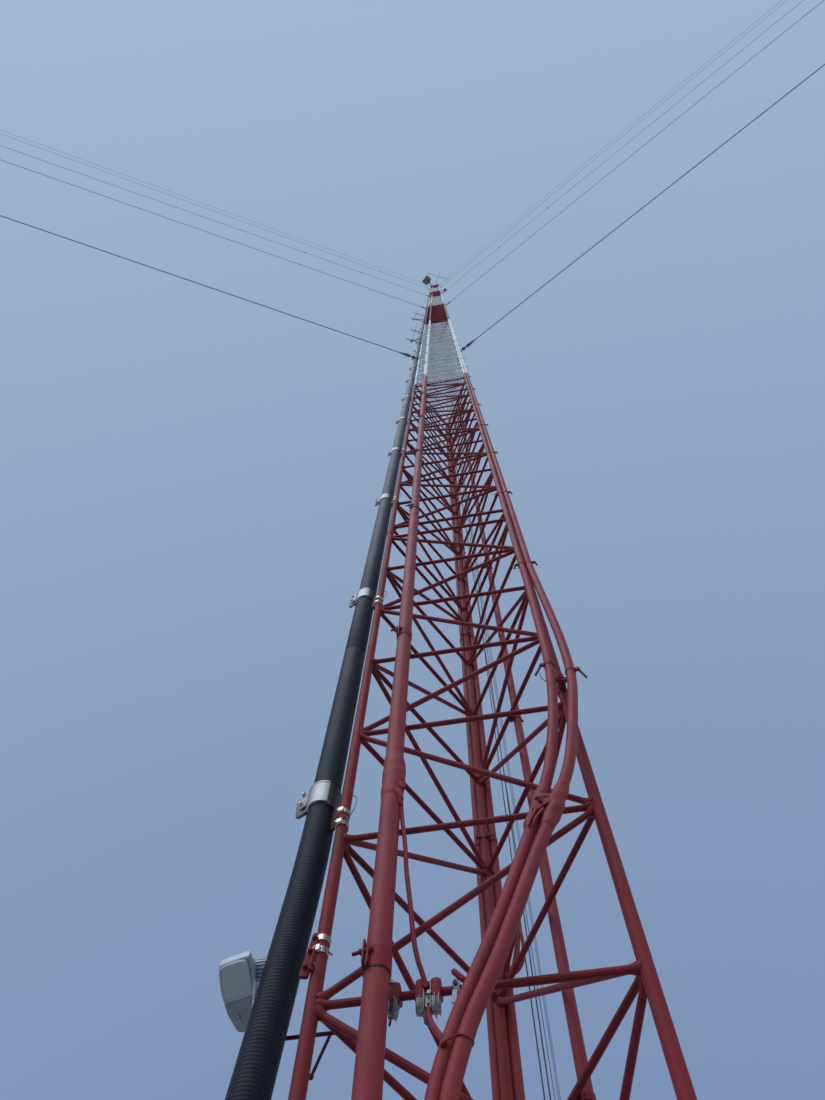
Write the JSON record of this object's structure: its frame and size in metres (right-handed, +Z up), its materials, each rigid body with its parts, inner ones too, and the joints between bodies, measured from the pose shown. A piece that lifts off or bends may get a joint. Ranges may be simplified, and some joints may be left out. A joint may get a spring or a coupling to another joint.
{
  "type": "guyed lattice radio mast, 1:10 scale model",
  "caption": "Guyed triangular lattice radio mast with feeders, small antennas, a dish, a warning light and taut stays to ground anchors, as a 1:10 scale model.",
  "frame": {"origin": "centre of the underside of the base plate, on the mast's upright centre line", "axes": "+Z up along the mast, -Y out of the front face with the thick feeder, +X towards the right leg as seen from the front"},
  "size_m": [11.2892, 9.7768, 8.6485],
  "materials": {
    "mast_paint": "dull weathered red enamel, with bands of off-white",
    "galvanised_steel": "dull galvanised",
    "band_steel": "satin stainless",
    "clamp_aluminium": "cast, lightly oxidised",
    "clamp_brass": "dull tinned bronze, part painted over",
    "stay_steel": "stranded galvanised wire",
    "coax_jacket": "black polyethylene, slightly dusty",
    "radio_shell": "light grey moulded housing",
    "light_lens": "clear red lens",
    "dish_shell": "dark grey satin",
    "antenna_aluminium": "weathered tube"
  },
  "bodies": {
    "root": {"antenna_brackets": "galvanised_steel", "base_plate": "galvanised_steel", "black_coax": "coax_jacket", "coax_clamps": "clamp_aluminium", "dish": "dish_shell", "dish_mount": "galvanised_steel", "front_bracing": "mast_paint", "front_feeder": "mast_paint", "front_hangers": "mast_paint", "ground_clamps": "clamp_brass", "ground_lead": "mast_paint", "guy_lugs": "mast_paint", "inner_feeder": "mast_paint", "left_bracing": "mast_paint", "left_inner_anchor": "galvanised_steel", "left_leg": "mast_paint", "left_outer_anchor": "galvanised_steel", "left_stay_1": "stay_steel", "left_stay_2": "stay_steel", "left_stay_3": "stay_steel", "left_stay_4": "stay_steel", "left_stay_5": "stay_steel", "light_bracket": "galvanised_steel", "outer_feeder": "mast_paint", "pair_hangers": "band_steel", "radio_arm": "band_steel", "radio_unit": "radio_shell", "rear_face_feeder": "mast_paint", "rear_hangers": "band_steel", "rear_inner_anchor": "galvanised_steel", "rear_leg": "mast_paint", "rear_leg_feeders": "mast_paint", "rear_outer_anchor": "galvanised_steel", "rear_stay_1": "stay_steel", "rear_stay_2": "stay_steel", "rear_stay_3": "stay_steel", "rear_stay_4": "stay_steel", "rear_stay_5": "stay_steel", "right_bracing": "mast_paint", "right_inner_anchor": "galvanised_steel", "right_leg": "mast_paint", "right_outer_anchor": "galvanised_steel", "right_stay_1": "stay_steel", "right_stay_2": "stay_steel", "right_stay_3": "stay_steel", "right_stay_4": "stay_steel", "right_stay_5": "stay_steel", "safety_wires": "stay_steel", "side_antennas": "antenna_aluminium", "splice_sleeve": "mast_paint", "top_boom": "antenna_aluminium", "top_plate": "galvanised_steel", "warning_light": "light_lens"}
  },
  "joints": []
}
